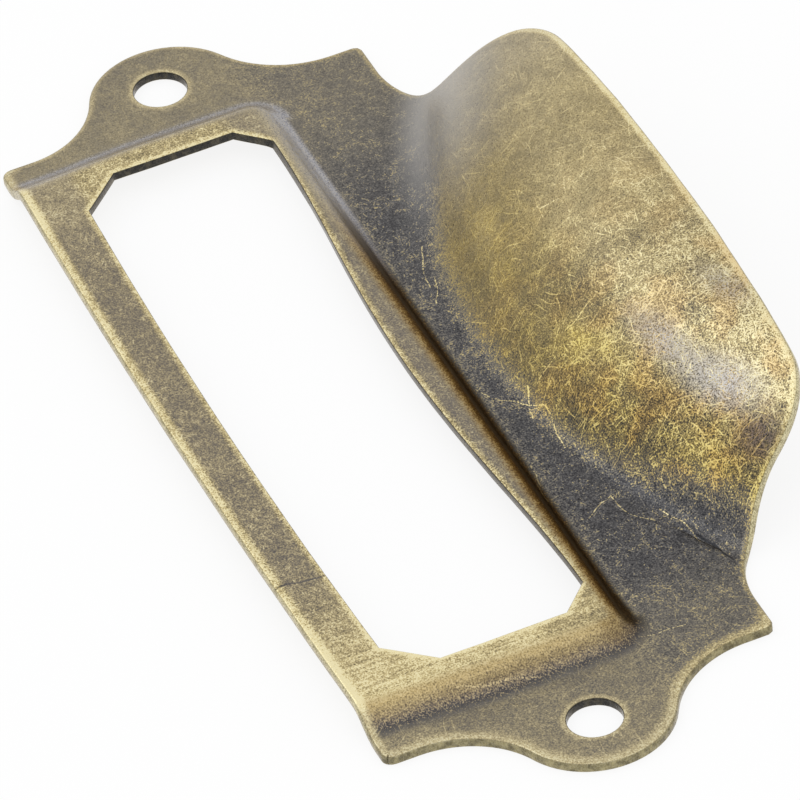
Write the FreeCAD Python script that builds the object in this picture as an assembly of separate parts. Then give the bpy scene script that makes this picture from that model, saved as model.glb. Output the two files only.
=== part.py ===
import FreeCAD
import Part
import math
import os

# Label frame pull, one stamped sheet of brass.
# Flat plate with a screw ear at each short end, a raised label tray with an eight-sided window,
# open at one long edge for the card, and a domed finger lip turned up from the other long edge.
# X runs along the length, +Y points to the open card edge, +Z points out of the face.
# The origin lies midway between the two screw holes, on the flat back.

# Sheet
SHEET = 0.65                 # thickness of the sheet
RIM_ROUND = 0.2              # softened outer cut edge on the face side, the back edge stays sharp

# Screw holes and ears
SCREW_SPACING = 70.0         # distance between the two screw holes
SCREW_HOLE_D = 3.5           # clear hole for a small round-head screw
EAR_RADIUS = 5.27            # rounded end of each ear
EAR_INSET = 0.98             # ear centre lies this far inside the hole centre
EAR_DROP = 0.23              # ear centre lies this far to the lip side of the hole
EAR_REACH = 2.3              # the screw hole lies this far beyond the plate end

# Plate
PULL_HALF_LENGTH = SCREW_SPACING / 2.0 - EAR_REACH
END_TAPER = 0.4              # the plate is this much shorter at the open card edge, each end
OPEN_HALF_LENGTH = PULL_HALF_LENGTH - END_TAPER
OPEN_EDGE_Y = 12.55          # open card edge at the plate corners
OPEN_EDGE_BOW = 0.55         # the open edge bows outward by this much at its middle
PULL_EDGE_Y = -13.1          # plate edge beside the lip
OPEN_END_RUN = 2.22          # straight plate end before the hollow of the ear, card side
PULL_END_RUN = 2.02          # straight plate end before the hollow of the ear, lip side
OPEN_OGEE_Y = OPEN_EDGE_Y - OPEN_END_RUN
PULL_OGEE_Y = PULL_EDGE_Y + PULL_END_RUN
OPEN_CORNER_R = 0.7          # corner of the plate, card side
PULL_CORNER_R = 0.5          # corner of the plate, lip side

# Raised label tray
TRAY_RISE = 1.41             # the tray stands this far above the plate, room for the card
END_BORDER = 2.4             # flat of the plate outside the step, at each short end
LEDGE = 7.3                  # from the plate edge to the foot of the step, lip side
STEP_FOOT_X = PULL_HALF_LENGTH - END_BORDER
STEP_FOOT_Y = PULL_EDGE_Y + LEDGE
STEP_ANGLE = 58.0            # slope of the step, degrees
STEP_FOOT_R = 0.5            # inside bend at the foot, face side
STEP_HEAD_R = 0.3            # inside bend at the head, back side
TRAY_CORNER_R = 2.2          # corner of the step in plan, at its foot

# Window
WINDOW_END_BORDER = 3.35     # from the foot of the step to the window, at each short end
WINDOW_STEP_BORDER = 1.95    # from the foot of the step to the window, lip side
CARD_STRIP = 3.2             # width of the strip between the window and the open card edge
WINDOW_HALF_LENGTH = STEP_FOOT_X - WINDOW_END_BORDER
WINDOW_OPEN_Y = OPEN_EDGE_Y - CARD_STRIP
WINDOW_OPEN_BOW = 0.5        # the edge beside the strip bows outward at its middle
WINDOW_PULL_Y = STEP_FOOT_Y + WINDOW_STEP_BORDER
WINDOW_PULL_BOW = 1.35       # the edge at the lip side bows inward at its middle
OPEN_CHAMFER_X = 2.7
OPEN_CHAMFER_Y = 2.85
PULL_CHAMFER_X = 2.1
PULL_CHAMFER_Y = 2.0

# Finger lip, turned about an upright axis beyond the lip edge
LIP_VALLEY = 1.22            # flat between the step and the root of the lip, at the middle
LIP_ROOT_RADIUS = 53.9       # arc where the lip leaves the plate
LIP_AXIS_Y = STEP_FOOT_Y - LIP_VALLEY - LIP_ROOT_RADIUS
LIP_ROOT_BEND_R = 2.13       # hollow bend at the root, face side
LIP_RISE_ANGLE = 55.1        # steepest slope of the lip, degrees
LIP_DOME_R = 18.04           # domed back of the lip, face side
LIP_CORNER_R = 5.95          # rounded corner of the lip in plan
LIP_SHOULDER = 15.2          # from the plate end to the centre of that corner
LIP_CORNER_DROP = 2.52       # from the plate edge to the centre of that corner
LIP_CORNER_X = PULL_HALF_LENGTH - LIP_SHOULDER
LIP_CORNER_Y = PULL_EDGE_Y - LIP_CORNER_DROP
LIP_EDGE_BOW = 0.46          # the free edge stands out this much beyond its corners
LIP_TOP_Y = LIP_CORNER_Y - LIP_CORNER_R - LIP_EDGE_BOW
NOTCH_R = 7.2                # hollow between the plate edge and the lip
LIP_OVERRUN_ANGLE = 8.0      # the dome is turned this far past level before trimming
LIP_HALF_SWEEP = 36.0        # half angle of the turned lip before trimming

# Blocks used for trimming
TRIM_BELOW = -3.0
TRIM_ABOVE = 14.0
BLANK_X = 48.0
BLANK_OPEN_Y = 22.0
BLANK_PULL_Y = -34.0


def point(x, y, z=0.0):
    return FreeCAD.Vector(x, y, z)


def line(start, end):
    return Part.LineSegment(start, end).toShape()


def arc3(start, middle, end):
    return Part.Arc(start, middle, end).toShape()


def arc_about(centre, radius, start_angle, end_angle):
    """Arc in plan about a centre, angles in degrees, drawn from the start angle to the end angle."""
    half = (start_angle + end_angle) / 2.0
    spots = []
    for angle in (start_angle, half, end_angle):
        turn = math.radians(angle)
        x = centre.x + radius * math.cos(turn)
        y = centre.y + radius * math.sin(turn)
        spots.append(point(x, y, centre.z))
    return arc3(spots[0], spots[1], spots[2])


def bearing(start, end):
    """Angle in degrees of the plan direction from one point to another."""
    return math.degrees(math.atan2(end.y - start.y, end.x - start.x))


def first_point(edge):
    return edge.valueAt(edge.FirstParameter)


def last_point(edge):
    return edge.valueAt(edge.LastParameter)


def ogee_radius(end_x, meet_y, ear):
    """Radius of a hollow that is tangent to the plate end and to the round of the ear."""
    across = end_x - ear.x
    along = meet_y - ear.y
    return (across ** 2 - EAR_RADIUS ** 2 + along ** 2) / (2.0 * (EAR_RADIUS - across))


def right_outline():
    """Edges of the blank on the +X side, from the open card edge round to the free edge of the lip."""
    ear = point(SCREW_SPACING / 2.0 - EAR_INSET, -EAR_DROP)
    open_radius = ogee_radius(OPEN_HALF_LENGTH, OPEN_OGEE_Y, ear)
    open_centre = point(OPEN_HALF_LENGTH + open_radius, OPEN_OGEE_Y)
    pull_radius = ogee_radius(PULL_HALF_LENGTH, PULL_OGEE_Y, ear)
    pull_centre = point(PULL_HALF_LENGTH + pull_radius, PULL_OGEE_Y)
    open_corner = point(OPEN_HALF_LENGTH - OPEN_CORNER_R, OPEN_EDGE_Y - OPEN_CORNER_R)
    pull_corner = point(PULL_HALF_LENGTH - PULL_CORNER_R, PULL_EDGE_Y + PULL_CORNER_R)
    lip_corner = point(LIP_CORNER_X, LIP_CORNER_Y)
    notch_drop = PULL_EDGE_Y - NOTCH_R - LIP_CORNER_Y
    notch_reach = math.sqrt((LIP_CORNER_R + NOTCH_R) ** 2 - notch_drop ** 2)
    notch_centre = point(LIP_CORNER_X + notch_reach, PULL_EDGE_Y - NOTCH_R)
    rim_height = LIP_CORNER_Y - LIP_TOP_Y
    rim_spread = LIP_CORNER_X ** 2 + rim_height ** 2 - LIP_CORNER_R ** 2
    rim_radius = rim_spread / (2.0 * (rim_height - LIP_CORNER_R))
    rim_centre = point(0.0, LIP_TOP_Y + rim_radius)
    edges = []
    edges.append(arc_about(open_corner, OPEN_CORNER_R, 90.0, 0.0))
    ogee_open = arc_about(open_centre, open_radius, 180.0, bearing(open_centre, ear) + 360.0)
    edges.append(line(last_point(edges[-1]), first_point(ogee_open)))
    edges.append(ogee_open)
    edges.append(arc_about(ear, EAR_RADIUS, bearing(ear, open_centre), bearing(ear, pull_centre)))
    edges.append(arc_about(pull_centre, pull_radius, bearing(pull_centre, ear), 180.0))
    corner = arc_about(pull_corner, PULL_CORNER_R, 0.0, -90.0)
    edges.append(line(last_point(edges[-1]), first_point(corner)))
    edges.append(corner)
    notch = arc_about(notch_centre, NOTCH_R, 90.0, bearing(notch_centre, lip_corner))
    edges.append(line(last_point(corner), first_point(notch)))
    edges.append(notch)
    rim_turn = bearing(rim_centre, lip_corner)
    edges.append(arc_about(lip_corner, LIP_CORNER_R, bearing(lip_corner, notch_centre), rim_turn))
    return edges


def closed_face(edges):
    return Part.Face(Part.Wire(Part.__sortEdges__(edges)))


def mirrored(edges):
    return [edge.mirror(point(0, 0), point(1, 0)) for edge in edges]


def prism(face, bottom, top):
    low = face.copy()
    low.translate(point(0, 0, bottom))
    return low.extrude(point(0, 0, top - bottom))


def blank_face():
    right = right_outline()
    edges = right + mirrored(right)
    card = first_point(right[0])
    rim = last_point(right[-1])
    edges.append(arc3(card, point(0, OPEN_EDGE_Y + OPEN_EDGE_BOW), point(-card.x, card.y)))
    edges.append(arc3(rim, point(0, LIP_TOP_Y), point(-rim.x, rim.y)))
    return closed_face(edges)


def swell(half_length, end_y, height):
    """Curve that leaves both ends level and swells to its full height at the middle."""
    curve = Part.BezierCurve()
    crown = point(0.0, end_y + height * 16.0 / 6.0)
    near = point(-half_length / 2.0, end_y)
    far = point(half_length / 2.0, end_y)
    curve.setPoles([point(-half_length, end_y), near, crown, far, point(half_length, end_y)])
    return curve.toShape()


def window_face():
    """Eight-sided window, its card-side edge bowed outward and its lip-side edge swelling inward."""
    end = WINDOW_HALF_LENGTH
    open_x = end - OPEN_CHAMFER_X
    pull_x = end - PULL_CHAMFER_X
    right = [
        line(point(open_x, WINDOW_OPEN_Y), point(end, WINDOW_OPEN_Y - OPEN_CHAMFER_Y)),
        line(point(end, WINDOW_OPEN_Y - OPEN_CHAMFER_Y), point(end, WINDOW_PULL_Y + PULL_CHAMFER_Y)),
        line(point(end, WINDOW_PULL_Y + PULL_CHAMFER_Y), point(pull_x, WINDOW_PULL_Y)),
    ]
    edges = right + mirrored(right)
    open_middle = point(0, WINDOW_OPEN_Y + WINDOW_OPEN_BOW)
    edges.append(arc3(point(open_x, WINDOW_OPEN_Y), open_middle, point(-open_x, WINDOW_OPEN_Y)))
    edges.append(swell(pull_x, WINDOW_PULL_Y, WINDOW_PULL_BOW))
    return closed_face(edges)


def bend_point(centre, radius, degrees):
    """Point in the upright section plane, on a bend about its centre, angle from the vertical."""
    turn = math.radians(degrees)
    return point(centre.x + radius * math.sin(turn), 0.0, centre.z + radius * math.cos(turn))


def bend(centre, radius, start, end):
    spots = [bend_point(centre, radius, turn) for turn in (start, (start + end) / 2.0, end)]
    return arc3(spots[0], spots[1], spots[2])


def step_section():
    """Section of the step of even thickness, from the foot at zero to the head at its run."""
    slope = math.radians(STEP_ANGLE)
    bends = STEP_FOOT_R + STEP_HEAD_R + SHEET
    straight = (TRAY_RISE - bends * (1.0 - math.cos(slope))) / math.sin(slope)
    run = bends * math.sin(slope) + straight * math.cos(slope)
    foot = point(0.0, 0.0, SHEET + STEP_FOOT_R)
    head = point(run, 0.0, TRAY_RISE - STEP_HEAD_R)
    low = 180.0 - STEP_ANGLE
    foot_face = bend(foot, STEP_FOOT_R, 180.0, low)
    foot_back = bend(foot, STEP_FOOT_R + SHEET, 180.0, low)
    head_face = bend(head, STEP_HEAD_R + SHEET, -STEP_ANGLE, 0.0)
    head_back = bend(head, STEP_HEAD_R, -STEP_ANGLE, 0.0)
    edges = [
        foot_face,
        line(last_point(foot_face), first_point(head_face)),
        head_face,
        line(last_point(head_face), last_point(head_back)),
        head_back,
        line(first_point(head_back), last_point(foot_back)),
        foot_back,
        line(first_point(foot_back), first_point(foot_face)),
    ]
    return closed_face(edges), run


def lip_section():
    """Section of the lip at zero sweep: hollow root bend, then the long dome, both of even thickness."""
    slope = math.radians(LIP_RISE_ANGLE)
    root = point(0.0, 0.0, SHEET + LIP_ROOT_BEND_R)
    reach = LIP_ROOT_BEND_R + LIP_DOME_R
    dome = point(reach * math.sin(slope), 0.0, root.z - reach * math.cos(slope))
    low = 180.0 - LIP_RISE_ANGLE
    root_face = bend(root, LIP_ROOT_BEND_R, 180.0, low)
    root_back = bend(root, LIP_ROOT_BEND_R + SHEET, 180.0, low)
    dome_face = bend(dome, LIP_DOME_R, -LIP_RISE_ANGLE, LIP_OVERRUN_ANGLE)
    dome_back = bend(dome, LIP_DOME_R - SHEET, -LIP_RISE_ANGLE, LIP_OVERRUN_ANGLE)
    edges = [
        root_face,
        dome_face,
        line(last_point(dome_face), last_point(dome_back)),
        dome_back,
        root_back,
        line(first_point(root_back), first_point(root_face)),
    ]
    return closed_face(edges)


def tray_solids():
    """Step along both short ends, round two corners and along the lip side, and the flat of the tray."""
    section, run = step_section()
    corner_x = STEP_FOOT_X - TRAY_CORNER_R
    corner_y = STEP_FOOT_Y + TRAY_CORNER_R
    end_step = section.copy()
    end_step.translate(point(-STEP_FOOT_X, corner_y))
    left_end = end_step.extrude(point(0, BLANK_OPEN_Y - corner_y))
    left_corner = end_step.revolve(point(-corner_x, corner_y), point(0, 0, 1), 90.0)
    side_step = section.copy()
    side_step.rotate(point(0, 0), point(0, 0, 1), 90.0)
    side_step.translate(point(-corner_x, STEP_FOOT_Y))
    side = side_step.extrude(point(2.0 * corner_x, 0))
    right_end = left_end.mirror(point(0, 0), point(1, 0))
    right_corner = left_corner.mirror(point(0, 0), point(1, 0))
    inner_x = STEP_FOOT_X - run
    inner_y = STEP_FOOT_Y + run
    inner_r = TRAY_CORNER_R - run
    right = [
        line(point(inner_x, BLANK_OPEN_Y), point(inner_x, corner_y)),
        arc_about(point(corner_x, corner_y), inner_r, 0.0, -90.0),
    ]
    edges = right + mirrored(right)
    edges.append(line(point(corner_x, inner_y), point(-corner_x, inner_y)))
    edges.append(line(point(inner_x, BLANK_OPEN_Y), point(-inner_x, BLANK_OPEN_Y)))
    flat = prism(closed_face(edges), TRAY_RISE, TRAY_RISE + SHEET)
    return [left_end, left_corner, side, right_corner, right_end, flat]


def plate_solid():
    """Flat plate with the tray and the lip taken out of it along their bend lines."""
    width = BLANK_OPEN_Y - BLANK_PULL_Y
    slab = Part.makeBox(2.0 * BLANK_X, width, SHEET, point(-BLANK_X, BLANK_PULL_Y, 0.0))
    corner_x = STEP_FOOT_X - TRAY_CORNER_R
    corner_y = STEP_FOOT_Y + TRAY_CORNER_R
    right = [
        line(point(STEP_FOOT_X, BLANK_OPEN_Y), point(STEP_FOOT_X, corner_y)),
        arc_about(point(corner_x, corner_y), TRAY_CORNER_R, 0.0, -90.0),
    ]
    edges = right + mirrored(right)
    edges.append(line(point(corner_x, STEP_FOOT_Y), point(-corner_x, STEP_FOOT_Y)))
    edges.append(line(point(STEP_FOOT_X, BLANK_OPEN_Y), point(-STEP_FOOT_X, BLANK_OPEN_Y)))
    tray_room = prism(closed_face(edges), TRIM_BELOW, TRIM_ABOVE)
    depth = TRIM_ABOVE - TRIM_BELOW
    lip_room = Part.makeCylinder(LIP_ROOT_RADIUS, depth, point(0, LIP_AXIS_Y, TRIM_BELOW), point(0, 0, 1))
    return slab.cut(tray_room).cut(lip_room)


def lip_solid():
    """Lip turned about its upright axis, to be trimmed by the blank."""
    section = lip_section()
    section.rotate(point(0, 0), point(0, 0, 1), -90.0)
    section.translate(point(0.0, LIP_AXIS_Y + LIP_ROOT_RADIUS))
    axis = point(0, LIP_AXIS_Y)
    section.rotate(axis, point(0, 0, 1), -LIP_HALF_SWEEP)
    return section.revolve(axis, point(0, 0, 1), 2.0 * LIP_HALF_SWEEP)


def in_opening(spot):
    """True for a point on the rim of the window or of a screw hole."""
    reach = SCREW_HOLE_D / 2.0 + RIM_ROUND
    if abs(abs(spot.x) - SCREW_SPACING / 2.0) < reach and abs(spot.y) < reach:
        return True
    if abs(spot.x) > WINDOW_HALF_LENGTH + RIM_ROUND:
        return False
    return WINDOW_PULL_Y - RIM_ROUND < spot.y < WINDOW_OPEN_Y + WINDOW_OPEN_BOW + RIM_ROUND


def outer_rim(solid):
    """Face-side edges of the outer cut, where the upper skin of the sheet meets an upright cut wall."""
    found = []
    owners = {}
    for face in solid.Faces:
        for edge in face.Edges:
            owners.setdefault(edge.hashCode(), []).append((edge, face))
    for pairs in owners.values():
        if len(pairs) != 2:
            continue
        edge = pairs[0][0]
        spot = edge.valueAt((edge.FirstParameter + edge.LastParameter) / 2.0)
        heights = []
        for pair in pairs:
            u, v = pair[1].Surface.parameter(spot)
            heights.append(pair[1].normalAt(u, v).z)
        flat = max(heights, key=abs)
        wall = min(heights, key=abs)
        if abs(wall) > 0.02 or flat < 0.3:
            continue
        if not in_opening(spot):
            found.append(edge)
    return found


def build():
    formed = plate_solid()
    formed = formed.multiFuse(tray_solids() + [lip_solid()])
    formed = formed.removeSplitter()
    part = formed.common(prism(blank_face(), TRIM_BELOW, TRIM_ABOVE))
    part = part.cut(prism(window_face(), TRIM_BELOW, TRIM_ABOVE))
    depth = TRIM_ABOVE - TRIM_BELOW
    for side in (-1.0, 1.0):
        base = point(side * SCREW_SPACING / 2.0, 0.0, TRIM_BELOW)
        part = part.cut(Part.makeCylinder(SCREW_HOLE_D / 2.0, depth, base, point(0, 0, 1)))
    part = part.removeSplitter()
    solid = part.Solids[0]
    print("solids", len(part.Solids), "valid", solid.isValid(), "volume", solid.Volume)
    solid = solid.makeFillet(RIM_ROUND, outer_rim(solid)).Solids[0]
    print("rim rounded, valid", solid.isValid(), "volume", solid.Volume)
    return solid


os.makedirs("parts", exist_ok=True)
pull = build()
box = pull.optimalBoundingBox(False, False)
print("type", pull.ShapeType, "box", box.XMin, box.XMax, box.YMin, box.YMax, box.ZMin, box.ZMax)
pull.exportStep("parts/label_frame_pull.step")
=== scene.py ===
import math

import bmesh
import bpy
import numpy as np
from mathutils import Matrix


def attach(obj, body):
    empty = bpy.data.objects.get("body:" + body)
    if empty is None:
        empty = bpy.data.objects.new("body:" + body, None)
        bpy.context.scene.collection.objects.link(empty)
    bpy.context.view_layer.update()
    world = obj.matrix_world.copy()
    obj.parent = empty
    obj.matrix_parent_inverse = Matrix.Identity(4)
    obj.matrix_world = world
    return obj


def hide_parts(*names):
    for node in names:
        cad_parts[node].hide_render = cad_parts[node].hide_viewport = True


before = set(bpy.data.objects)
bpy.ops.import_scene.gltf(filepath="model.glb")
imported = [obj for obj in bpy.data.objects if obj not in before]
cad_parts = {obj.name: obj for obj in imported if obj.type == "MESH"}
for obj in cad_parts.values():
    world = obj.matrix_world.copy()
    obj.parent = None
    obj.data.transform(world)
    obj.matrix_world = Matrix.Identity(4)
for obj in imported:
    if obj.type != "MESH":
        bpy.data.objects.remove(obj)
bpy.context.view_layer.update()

# Lengths are in millimetres until the mesh is written in metres
MM = 0.001

# Sheet and rims
SHEET = 0.65
OUTER_ROUND = 0.22
WINDOW_ROUND = 0.11
HOLE_ROUND = 0.13
BACK_ROUND = 0.08

# Plate, ears and screw holes
HOLE_X = 35.0
HOLE_R = 1.75
EAR_CENTRE = np.array([34.02, -0.23])
EAR_R = 5.27
OPEN_HALF = 32.3
PULL_HALF = 32.7
OPEN_Y = 12.55
OPEN_BOW = 0.55
PULL_Y = -13.1
OPEN_OGEE_Y = 10.33
PULL_OGEE_Y = -11.08
OPEN_CORNER_R = 0.7
PULL_CORNER_R = 0.5
EAR_TOP_Y = 7.5
EAR_LOW_Y = -7.6

# Raised tray and its window
TRAY_RISE = 1.41
FOOT_X = 30.3
FOOT_Y = -5.8
FOOT_CORNER_R = 2.2
STEP_SLOPE = math.radians(58.0)
FOOT_BEND_R = 0.5
END_FOOT_BEND_R = 1.95
HEAD_BEND_R = 0.95
END_SKEW = 0.4
STEP_STRAIGHT = TRAY_RISE - (FOOT_BEND_R + HEAD_BEND_R) * (1.0 - math.cos(STEP_SLOPE))
STEP_RUN = (FOOT_BEND_R + HEAD_BEND_R) * math.sin(STEP_SLOPE) + STEP_STRAIGHT / math.tan(STEP_SLOPE)
WINDOW_HALF = 26.8
WINDOW_OPEN_Y = 9.35
WINDOW_OPEN_BOW = 0.5
WINDOW_PULL_Y = -3.85
WINDOW_PULL_BOW = 1.35
OPEN_CHAMFER = (2.7, 2.85)
PULL_CHAMFER = (2.1, 2.0)

# Finger lip, turned about an upright axis
LIP_AXIS_Y = -60.92
LIP_ROOT_R = 53.9
ROOT_BEND_R = 2.13
LIP_SLOPE = math.radians(55.1)
DOME_R = 18.04
LIP_TOP_Y = -22.03
LIP_CORNER = np.array([17.5, -15.62])
LIP_CORNER_R = 5.95
NOTCH_R = 7.2

# Softness and small faults of this one stamping
FOOT_TIGHTENING = 0.2
END_STEP_EASE = 1.2
FAR_STEP_EASE = 1.05
LIP_EASE = 0.4
FAR_LIP_EASE = 0.9
TRAY_UNEVEN = 0.02
LIP_UNEVEN = 0.065
STRIP_ASKEW = 0.0065
ROOT_CREASE_DEPTH = 0.06
ROOT_CREASE_PLACE = 0.12
ROOT_CREASE_WIDTH = 0.10
STRIP_CREASE_DEPTH = 0.035
STRIP_CREASE_X = -16.1
STRIP_CREASE_SLANT = 0.12
STRIP_CREASE_WIDTH = 0.2

# Grid counts of the right half: columns along the edge, rows across the sheet
OPEN_COLUMNS = 110
END_COLUMNS = 18
EAR_COLUMNS = 40
CORNER_COLUMNS = 24
LIP_COLUMNS = 112
TRAY_ROWS = 12
STEP_ROWS = 18
VALLEY_ROWS = 15
REACH_ROWS = 42
EAR_ROWS = 14
FACE_ROUND_POINTS = 6
BACK_ROUND_POINTS = 4
HOLE_POINTS = 80
TRIAL_POINTS = 400
OUTER_ROOT_SHARE = 0.8
REACH_CROWDING = 1.4
EAR_CROWDING = 1.2

# Mesh: limits of the stored distances, gap in metres below which points are welded, blocks of spots
STEP_RANGE = (-8.0, 4.0)
ROOT_RANGE = (-8.0, 20.0)
WELD = 2.0e-7
DISTANCE_BLOCKS = 60


def arc(centre, radius, start, end, count):
    """Points on a circle about the centre, from the start angle to the end angle in degrees."""
    turn = np.radians(np.linspace(start, end, count))
    return np.stack([centre[0] + radius * np.cos(turn), centre[1] + radius * np.sin(turn)], axis=1)


def run(start, end, count):
    """Points evenly along the straight line from start to end."""
    share = np.linspace(0.0, 1.0, count)[:, None]
    return np.asarray(start) * (1.0 - share) + np.asarray(end) * share


def chain(*paths):
    """Paths end to end, each joint kept once."""
    return np.concatenate([paths[0]] + [path[1:] for path in paths[1:]])


def along(path, shares):
    """Points of a path at the given shares of its length."""
    lengths = np.hypot(*np.diff(path, axis=0).T)
    reach = np.concatenate([[0.0], np.cumsum(lengths)])
    reach = reach / reach[-1]
    return np.stack([np.interp(shares, reach, path[:, 0]), np.interp(shares, reach, path[:, 1])], axis=1)


def spread(path, count):
    """The path divided into count equal lengths."""
    return along(path, np.linspace(0.0, 1.0, count + 1))


def bearing(start, end):
    """Angle in degrees of the direction from one point to another."""
    return math.degrees(math.atan2(end[1] - start[1], end[0] - start[0]))


def row_shares(root_share):
    """Shares from the step's foot to the outline, even up to the lip's root and crowded just beyond it."""
    root_share = np.asarray(root_share, dtype=float)[..., None]
    valley = np.linspace(0.0, 1.0, VALLEY_ROWS + 1)
    reach = np.linspace(0.0, 1.0, REACH_ROWS + 1)[1:] ** REACH_CROWDING
    return np.concatenate([root_share * valley, root_share + (1.0 - root_share) * reach], axis=-1)


def open_edge_y(x):
    """Open card edge: a shallow bow, highest at the middle."""
    return OPEN_Y + OPEN_BOW * (1.0 - (x / (OPEN_HALF - OPEN_CORNER_R)) ** 2)


def ogee(end_x, meet_y):
    """Centre and radius of the hollow that is tangent to the plate end and to the ear."""
    across = end_x - EAR_CENTRE[0]
    rise = meet_y - EAR_CENTRE[1]
    radius = (across ** 2 - EAR_R ** 2 + rise ** 2) / (2.0 * (EAR_R - across))
    return np.array([end_x + radius, meet_y]), radius


def outline_sections():
    """Right half of the blank in seven stretches, from mid open edge round to the middle of the lip."""
    open_centre, open_r = ogee(OPEN_HALF, OPEN_OGEE_Y)
    pull_centre, pull_r = ogee(PULL_HALF, PULL_OGEE_Y)
    open_corner = np.array([OPEN_HALF - OPEN_CORNER_R, OPEN_Y - OPEN_CORNER_R])
    pull_corner = np.array([PULL_HALF - PULL_CORNER_R, PULL_Y + PULL_CORNER_R])
    top_turn = 180.0 + math.degrees(math.asin((OPEN_OGEE_Y - EAR_TOP_Y) / open_r))
    low_turn = 180.0 - math.degrees(math.asin((EAR_LOW_Y - PULL_OGEE_Y) / pull_r))
    open_meet = bearing(open_centre, EAR_CENTRE) + 360.0
    pull_meet = bearing(pull_centre, EAR_CENTRE)
    notch_y = PULL_Y - NOTCH_R
    notch_reach = math.sqrt((LIP_CORNER_R + NOTCH_R) ** 2 - (notch_y - LIP_CORNER[1]) ** 2)
    notch_centre = np.array([LIP_CORNER[0] + notch_reach, notch_y])
    rim_height = LIP_CORNER[1] - LIP_TOP_Y
    rim_spread = LIP_CORNER[0] ** 2 + rim_height ** 2 - LIP_CORNER_R ** 2
    rim_radius = rim_spread / (2.0 * (rim_height - LIP_CORNER_R))
    rim_centre = np.array([0.0, LIP_TOP_Y + rim_radius])
    rim_turn = bearing(rim_centre, LIP_CORNER)

    head_x = FOOT_X - STEP_RUN
    card_x = np.linspace(0.0, head_x, OPEN_COLUMNS + 1)
    card = np.stack([card_x, open_edge_y(card_x)], axis=1)
    step_x = np.linspace(head_x, FOOT_X, STEP_ROWS + 1)
    step = np.stack([step_x, open_edge_y(step_x)], axis=1)
    foot = np.array([FOOT_X, open_edge_y(FOOT_X)])
    shares = row_shares(OUTER_ROOT_SHARE)
    top = along(chain(run(foot, open_corner + (0.0, OPEN_CORNER_R), 30),
                      arc(open_corner, OPEN_CORNER_R, 90.0, 45.0, 30)), shares)
    end = spread(chain(arc(open_corner, OPEN_CORNER_R, 45.0, 0.0, 30),
                       run((OPEN_HALF, open_corner[1]), (OPEN_HALF, OPEN_OGEE_Y), 20),
                       arc(open_centre, open_r, 180.0, top_turn, 60)), END_COLUMNS)
    ear = spread(chain(arc(open_centre, open_r, top_turn, open_meet, 200),
                       arc(EAR_CENTRE, EAR_R, open_meet - 180.0, pull_meet - 180.0, 400),
                       arc(pull_centre, pull_r, pull_meet, low_turn, 200)), EAR_COLUMNS)
    low = spread(chain(arc(pull_centre, pull_r, low_turn, 180.0, 80),
                       run((PULL_HALF, PULL_OGEE_Y), (PULL_HALF, pull_corner[1]), 20),
                       arc(pull_corner, PULL_CORNER_R, 0.0, -90.0, 60),
                       run((pull_corner[0], PULL_Y), (notch_centre[0], PULL_Y), 20)), CORNER_COLUMNS)
    notch_turn = bearing(notch_centre, LIP_CORNER)
    lip_turn = bearing(LIP_CORNER, notch_centre)
    lip = spread(chain(arc(notch_centre, NOTCH_R, 90.0, notch_turn, 400),
                       arc(LIP_CORNER, LIP_CORNER_R, lip_turn, rim_turn, 400),
                       arc(rim_centre, rim_radius, rim_turn, -90.0, 800)), LIP_COLUMNS)
    return [card, step, top, end, ear, low, lip]


def window_sections():
    """Right half of the window in five stretches: bowed card side, chamfer, end, chamfer, lip side."""
    open_x = WINDOW_HALF - OPEN_CHAMFER[0]
    pull_x = WINDOW_HALF - PULL_CHAMFER[0]
    card_x = np.linspace(0.0, open_x, OPEN_COLUMNS + 1)
    card = np.stack([card_x, WINDOW_OPEN_Y + WINDOW_OPEN_BOW * (1.0 - (card_x / open_x) ** 2)], axis=1)
    top_y = WINDOW_OPEN_Y - OPEN_CHAMFER[1]
    low_y = WINDOW_PULL_Y + PULL_CHAMFER[1]
    top = run((open_x, WINDOW_OPEN_Y), (WINDOW_HALF, top_y), END_COLUMNS + 1)
    end = run((WINDOW_HALF, top_y), (WINDOW_HALF, low_y), EAR_COLUMNS + 1)
    low = run((WINDOW_HALF, low_y), (pull_x, WINDOW_PULL_Y), CORNER_COLUMNS + 1)
    lip_x = np.linspace(pull_x, 0.0, LIP_COLUMNS + 1)
    swell = WINDOW_PULL_BOW * (1.0 - (lip_x / pull_x) ** 2) ** 2
    lip = np.stack([lip_x, WINDOW_PULL_Y + swell], axis=1)
    return [card, top, end, low, lip]


def shifted(sections, distance):
    """Sections of a half loop moved sideways by a distance, mitred where two straight runs meet."""
    half = chain(*sections)
    other = half[-2:0:-1] * (-1.0, 1.0)
    loop = np.concatenate([half, other])
    after = np.roll(loop, -1, axis=0) - loop
    after = after / np.hypot(after[:, 0], after[:, 1])[:, None]
    before = np.roll(after, 1, axis=0)
    side = np.stack([-after[:, 1] - before[:, 1], after[:, 0] + before[:, 0]], axis=1)
    side = side / (1.0 + (after * before).sum(axis=1))[:, None]
    moved = (loop + side * distance)[:len(half)]
    cuts = np.cumsum([len(section) - 1 for section in sections])
    starts = np.concatenate([[0], cuts[:-1]])
    return [moved[first:last + 1] for first, last in zip(starts, cuts)]


def between(inner, outer, shares):
    """Grid of straight columns from each point of one path to its partner on another."""
    shares = np.asarray(shares)
    if shares.ndim == 1:
        shares = np.broadcast_to(shares, (len(inner), len(shares)))
    return inner[:, None] * (1.0 - shares[..., None]) + outer[:, None] * shares[..., None]


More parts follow.
